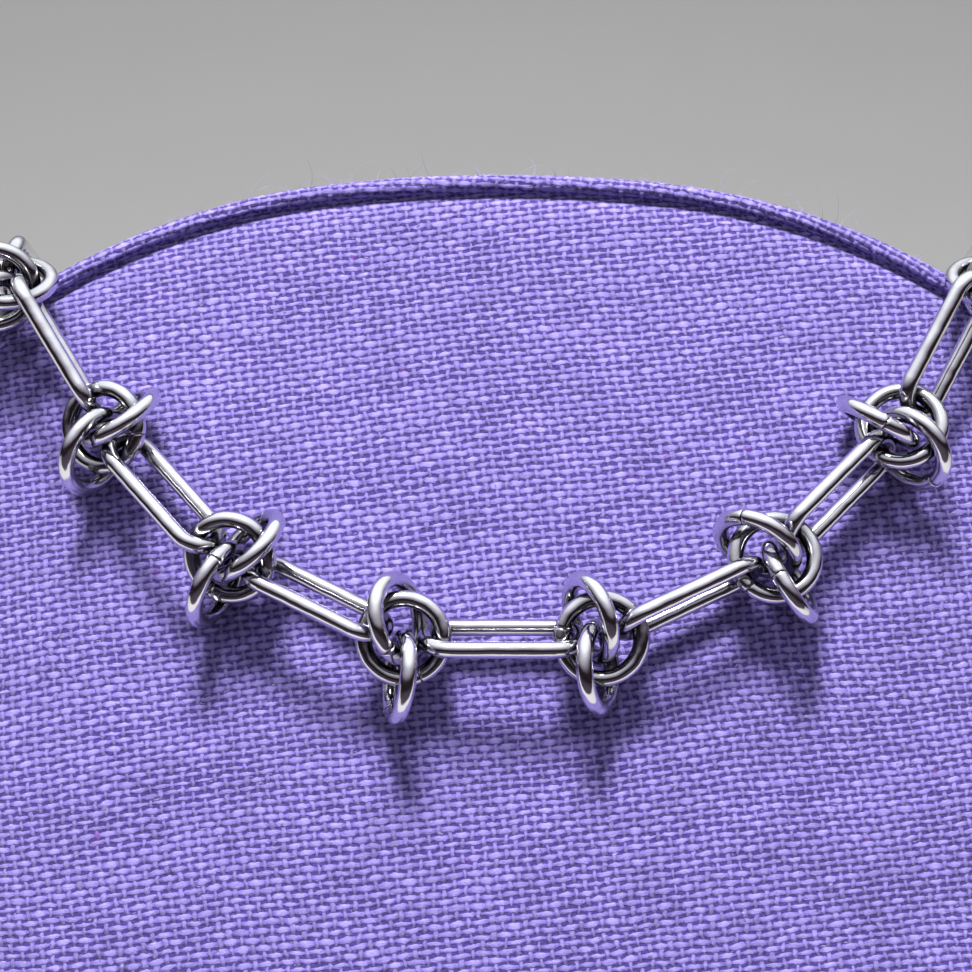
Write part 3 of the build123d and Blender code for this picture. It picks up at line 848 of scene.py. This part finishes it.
# The sky's colours from straight down, at 0, to straight up, at 1
SKY = (
    (0.0, (0.16, 0.13, 0.17)),
    (0.34, (0.10, 0.08, 0.11)),
    (0.44, (0.022, 0.014, 0.018)),
    (0.56, (0.030, 0.020, 0.024)),
    (0.64, (0.33, 0.30, 0.36)),
    (0.76, (0.80, 0.80, 0.90)),
    (0.90, (1.75, 1.85, 1.9)),
)
SKY_STRENGTH = 0.66

# The lamp over the bust: its place, where it points, its side and its watts
LAMP_PLACE = (-0.05, -0.19, 0.81)
LAMP_AIM = (0.0, -0.03, 0.13)
LAMP_SIDE = 0.18
LAMP_POWER = 12.0

# The camera looks at a place this far across and up the face, from this height and distance
AIM_ACROSS = -0.0017
AIM_UP = -0.0340
CAMERA_HEIGHT = math.radians(12)
CAMERA_DISTANCE = 0.25
CAMERA_LENS = 86.85


class CHOKER_OT_stage(bpy.types.Operator):
    """Sets the pale floor, the soft light and the camera"""

    bl_idname = "choker.stage"
    bl_label = "Stage"

    def execute(self, context):
        self.floor()
        self.lights()
        self.camera()
        return {"FINISHED"}

    def floor(self):
        net = Net("floor")
        where = net.node("ShaderNodeTexCoord").outputs["Object"]
        grain = net.noise(where, 35.0, 2.0)
        tone = net.mix(net.times(grain, 0.2), rgba(colours().floor), rgba(colours().floor, 0.85))
        material = net.shade(Base_Color=tone, Roughness=0.75, Specular_IOR_Level=0.2)
        bm = bmesh.new()
        profile = [(FLOOR_FRONT, 0.0), (FLOOR_BACK, 0.0)]
        for k in range(1, 17):
            t = math.pi / 2 * k / 16
            out, up = BACKDROP_RADIUS * math.sin(t), BACKDROP_RADIUS * (1.0 - math.cos(t))
            profile.append((FLOOR_BACK + out, up))
        profile.append((FLOOR_BACK + BACKDROP_RADIUS, BACKDROP_TOP))
        ends = (-FLOOR_HALF_WIDTH, FLOOR_HALF_WIDTH)
        rows = [[bm.verts.new((x, y, z)) for x in ends] for y, z in profile]
        for a, b in zip(rows, rows[1:]):
            bm.faces.new((a[0], a[1], b[1], b[0]))
        mesh = bpy.data.meshes.new("floor")
        bm.to_mesh(mesh)
        bm.free()
        mesh.shade_smooth()
        mesh.materials.append(material)
        obj = bpy.data.objects.new("floor", mesh)
        bpy.context.scene.collection.objects.link(obj)

    def lights(self):
        scene = bpy.context.scene
        world = bpy.data.worlds.new("studio")
        scene.world = world
        world.use_nodes = True
        tree = world.node_tree
        tree.nodes.clear()
        coords = tree.nodes.new("ShaderNodeTexCoord")
        split = tree.nodes.new("ShaderNodeSeparateXYZ")
        ramp = tree.nodes.new("ShaderNodeValToRGB")
        background = tree.nodes.new("ShaderNodeBackground")
        output = tree.nodes.new("ShaderNodeOutputWorld")
        rise = tree.nodes.new("ShaderNodeMath")
        rise.operation = "MULTIPLY_ADD"
        rise.inputs[1].default_value = 0.5
        rise.inputs[2].default_value = 0.5
        tree.links.new(coords.outputs["Generated"], split.inputs[0])
        tree.links.new(split.outputs["Z"], rise.inputs[0])
        tree.links.new(rise.outputs[0], ramp.inputs[0])
        tree.links.new(ramp.outputs[0], background.inputs["Color"])
        tree.links.new(background.outputs[0], output.inputs["Surface"])
        elements = ramp.color_ramp.elements
        while len(elements) < len(SKY):
            elements.new(0.5)
        for element, (place, tone) in zip(elements, SKY):
            element.position = place
            element.color = (*tone, 1.0)
        background.inputs["Strength"].default_value = SKY_STRENGTH
        light = bpy.data.lights.new("top_light", "AREA")
        light.energy = LAMP_POWER
        light.size = LAMP_SIDE
        lamp = bpy.data.objects.new("top_light", light)
        lamp.location = LAMP_PLACE
        way = Vector(LAMP_AIM) - Vector(LAMP_PLACE)
        lamp.rotation_euler = way.to_track_quat("-Z", "Y").to_euler()
        scene.collection.objects.link(lamp)

    def camera(self):
        scene = bpy.context.scene
        face = Face()
        aim = face.apex + AIM_ACROSS * face.x + AIM_UP * face.y
        back = Vector((0.0, -math.cos(CAMERA_HEIGHT), math.sin(CAMERA_HEIGHT)))
        data = bpy.data.cameras.new("camera")
        data.sensor_width = 36.0
        data.lens = CAMERA_LENS
        data.clip_start = 0.01
        obj = bpy.data.objects.new("camera", data)
        obj.location = aim + CAMERA_DISTANCE * back
        obj.rotation_euler = (math.pi / 2 - CAMERA_HEIGHT, 0.0, 0.0)
        scene.collection.objects.link(obj)
        scene.camera = obj
        scene.view_settings.view_transform = "Standard"


PIECES = (
    CHOKER_OT_stage,
    CHOKER_OT_front_panel,
    CHOKER_OT_band_and_back,
    CHOKER_OT_piping,
    CHOKER_OT_stray_fibres,
    CHOKER_OT_knot_rings,
    CHOKER_OT_links_and_clasp,
)
GROUPS = (
    ("choker_bust", ChokerBustSizes),
    ("choker_cloth", ChokerClothSizes),
    ("choker_chain", ChokerChainSizes),
    ("choker_colours", ChokerColours),
)


class CHOKER_PT_panel(bpy.types.Panel):
    """Lists the pieces and their sizes and colours"""

    bl_idname = "CHOKER_PT_panel"
    bl_label = "Knot chain choker"
    bl_space_type = "VIEW_3D"
    bl_region_type = "UI"
    bl_category = "Choker"

    def draw(self, context):
        for piece in PIECES:
            self.layout.operator(piece.bl_idname)
        for name, group in GROUPS:
            box = self.layout.box()
            for key in group.__annotations__:
                box.prop(getattr(context.scene, name), key)


def register():
    for name, group in GROUPS:
        bpy.utils.register_class(group)
        setattr(bpy.types.Scene, name, PointerProperty(type=group))
    for piece in PIECES + (CHOKER_PT_panel,):
        bpy.utils.register_class(piece)


def unregister():
    for piece in reversed(PIECES + (CHOKER_PT_panel,)):
        bpy.utils.unregister_class(piece)
    for name, group in reversed(GROUPS):
        delattr(bpy.types.Scene, name)
        bpy.utils.unregister_class(group)


def main():
    register()
    for piece in PIECES:
        group, name = piece.bl_idname.split(".")
        getattr(getattr(bpy.ops, group), name)()


if __name__ == "__main__":
    main()
